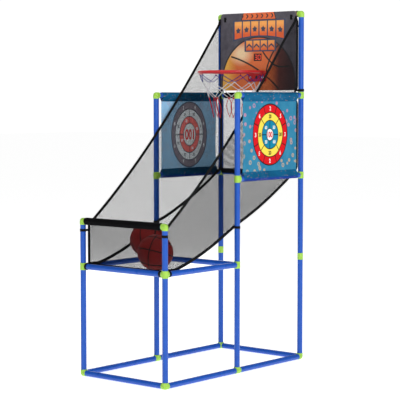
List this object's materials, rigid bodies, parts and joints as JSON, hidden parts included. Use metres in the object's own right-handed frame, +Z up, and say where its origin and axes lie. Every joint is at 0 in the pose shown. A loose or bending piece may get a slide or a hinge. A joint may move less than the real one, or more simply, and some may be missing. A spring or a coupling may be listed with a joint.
{
  "type": "arcade basketball stand",
  "caption": "Free-standing arcade basketball frame with sloping net ramp, side nets, target cloths, printed backboard, hoop with net, score unit and mini balls.",
  "frame": {"origin": "on the floor, under the middle of the frame", "axes": "+Z up; the player stands at -Y; +X is the right side seen from the player"},
  "size_m": [0.445, 0.859, 1.4245],
  "materials": {
    "blue_tube": "gloss powder coat",
    "green_connector": "moulded, satin gloss",
    "black_foam": "smooth foam sleeve",
    "black_net": "fine knitted mesh",
    "target_cloth": "printed woven polyester",
    "black_webbing": "hook-and-loop webbing",
    "printed_board": "printed fibreboard",
    "red_hoop": "gloss",
    "screw_steel": "zinc plated",
    "net_cord": "braided cord",
    "unit_plastic": "moulded, fine texture",
    "display_face": "gloss",
    "circuit": "solder mask",
    "cell_jacket": "printed film",
    "ball_rubber": "pebbled"
  },
  "bodies": {
    "root": {"back_net": "black_net", "backboard": "printed_board", "ball_sensor": "display_face", "base_front_corners": "green_connector", "base_front_tube": "blue_tube", "base_rear_corners": "green_connector", "base_rear_tube": "blue_tube", "base_side_tees": "green_connector", "base_side_tubes": "blue_tube", "board_straps": "black_webbing", "bracket_nuts": "screw_steel", "bracket_screws": "screw_steel", "buzzer": "display_face", "cells": "cell_jacket", "circuit_board": "circuit", "digit_display": "display_face", "front_net": "black_net", "front_posts_lower": "blue_tube", "front_posts_upper": "blue_tube", "front_rail_elbows": "green_connector", "front_rail_tube": "blue_tube", "hoop_bracket": "red_hoop", "hoop_net": "net_cord", "hoop_ring": "red_hoop", "mid_post_elbows": "green_connector", "mid_post_tees": "green_connector", "mid_posts_lower": "blue_tube", "mid_posts_middle": "blue_tube", "mid_posts_upper": "blue_tube", "middle_rear_tube": "blue_tube", "middle_side_tubes": "blue_tube", "net_ties": "black_webbing", "rail_sleeve": "black_foam", "ramp_net": "black_net", "rear_middle_crosses": "green_connector", "rear_post_couplers": "green_connector", "rear_posts_lower": "blue_tube", "rear_posts_middle": "blue_tube", "rear_posts_top": "blue_tube", "rear_posts_upper": "blue_tube", "rear_upper_crosses": "green_connector", "score_unit_cover": "unit_plastic", "score_unit_housing": "unit_plastic", "side_net_left": "black_net", "side_net_right": "black_net", "table_cross_tube": "blue_tube", "table_front_corners": "green_connector", "table_front_tube": "blue_tube", "table_mid_crosses": "green_connector", "table_side_tubes": "blue_tube", "target_cloth_left": "target_cloth", "target_cloth_right": "target_cloth", "top_elbows": "green_connector", "top_tube": "blue_tube", "upper_rear_tube": "blue_tube", "upper_side_tubes": "blue_tube"},
    "ball_front": {"ball_front": "ball_rubber"},
    "ball_rear": {"ball_rear": "ball_rubber"},
    "battery_door": {"battery_door": "unit_plastic"},
    "switch_knob": {"switch_knob": "unit_plastic"}
  },
  "joints": [
    {"name": "ball_front_lift", "type": "slide", "parent": "root", "child": "ball_front", "axis": [0, 0, 1], "range_m": [0, 0.35]},
    {"name": "ball_rear_lift", "type": "slide", "parent": "root", "child": "ball_rear", "axis": [0, 0, 1], "range_m": [0, 0.35]},
    {"name": "battery_door_off", "type": "slide", "parent": "root", "child": "battery_door", "axis": [0, 1, 0], "range_m": [0, 0.03]},
    {"name": "power_switch", "type": "slide", "parent": "root", "child": "switch_knob", "axis": [1, 0, 0], "range_m": [0, 0.004]}
  ]
}
